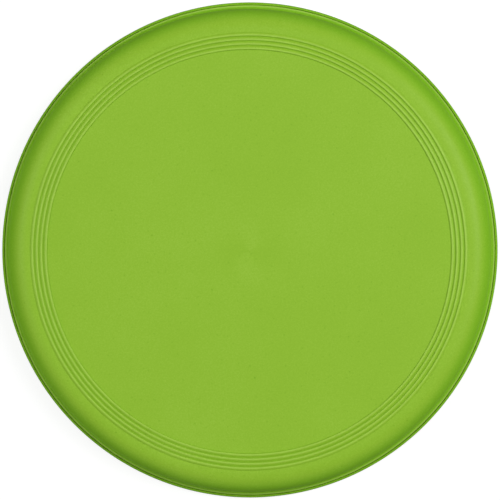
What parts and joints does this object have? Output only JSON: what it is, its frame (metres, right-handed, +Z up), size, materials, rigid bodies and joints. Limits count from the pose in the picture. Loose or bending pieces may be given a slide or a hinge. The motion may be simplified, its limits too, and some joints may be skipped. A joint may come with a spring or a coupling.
{
  "type": "flying disc",
  "caption": "Round closed flying disc for throwing and catching, with four concentric raised ridges, a rounded shoulder and a lipped rim ring that it rests on.",
  "frame": {"origin": "on the disc's axis, at the surface that the rim ring's foot rests on", "axes": "+Z up along the disc's axis, from the foot to the ridged top; +X and +Y are any two level directions, since the disc is round"},
  "size_m": [0.23, 0.23, 0.0212],
  "materials": {
    "plate_plastic": "satin",
    "rim_plastic": "satin"
  },
  "bodies": {
    "root": {"flight_plate": "plate_plastic", "rim_ring": "rim_plastic"}
  },
  "joints": []
}
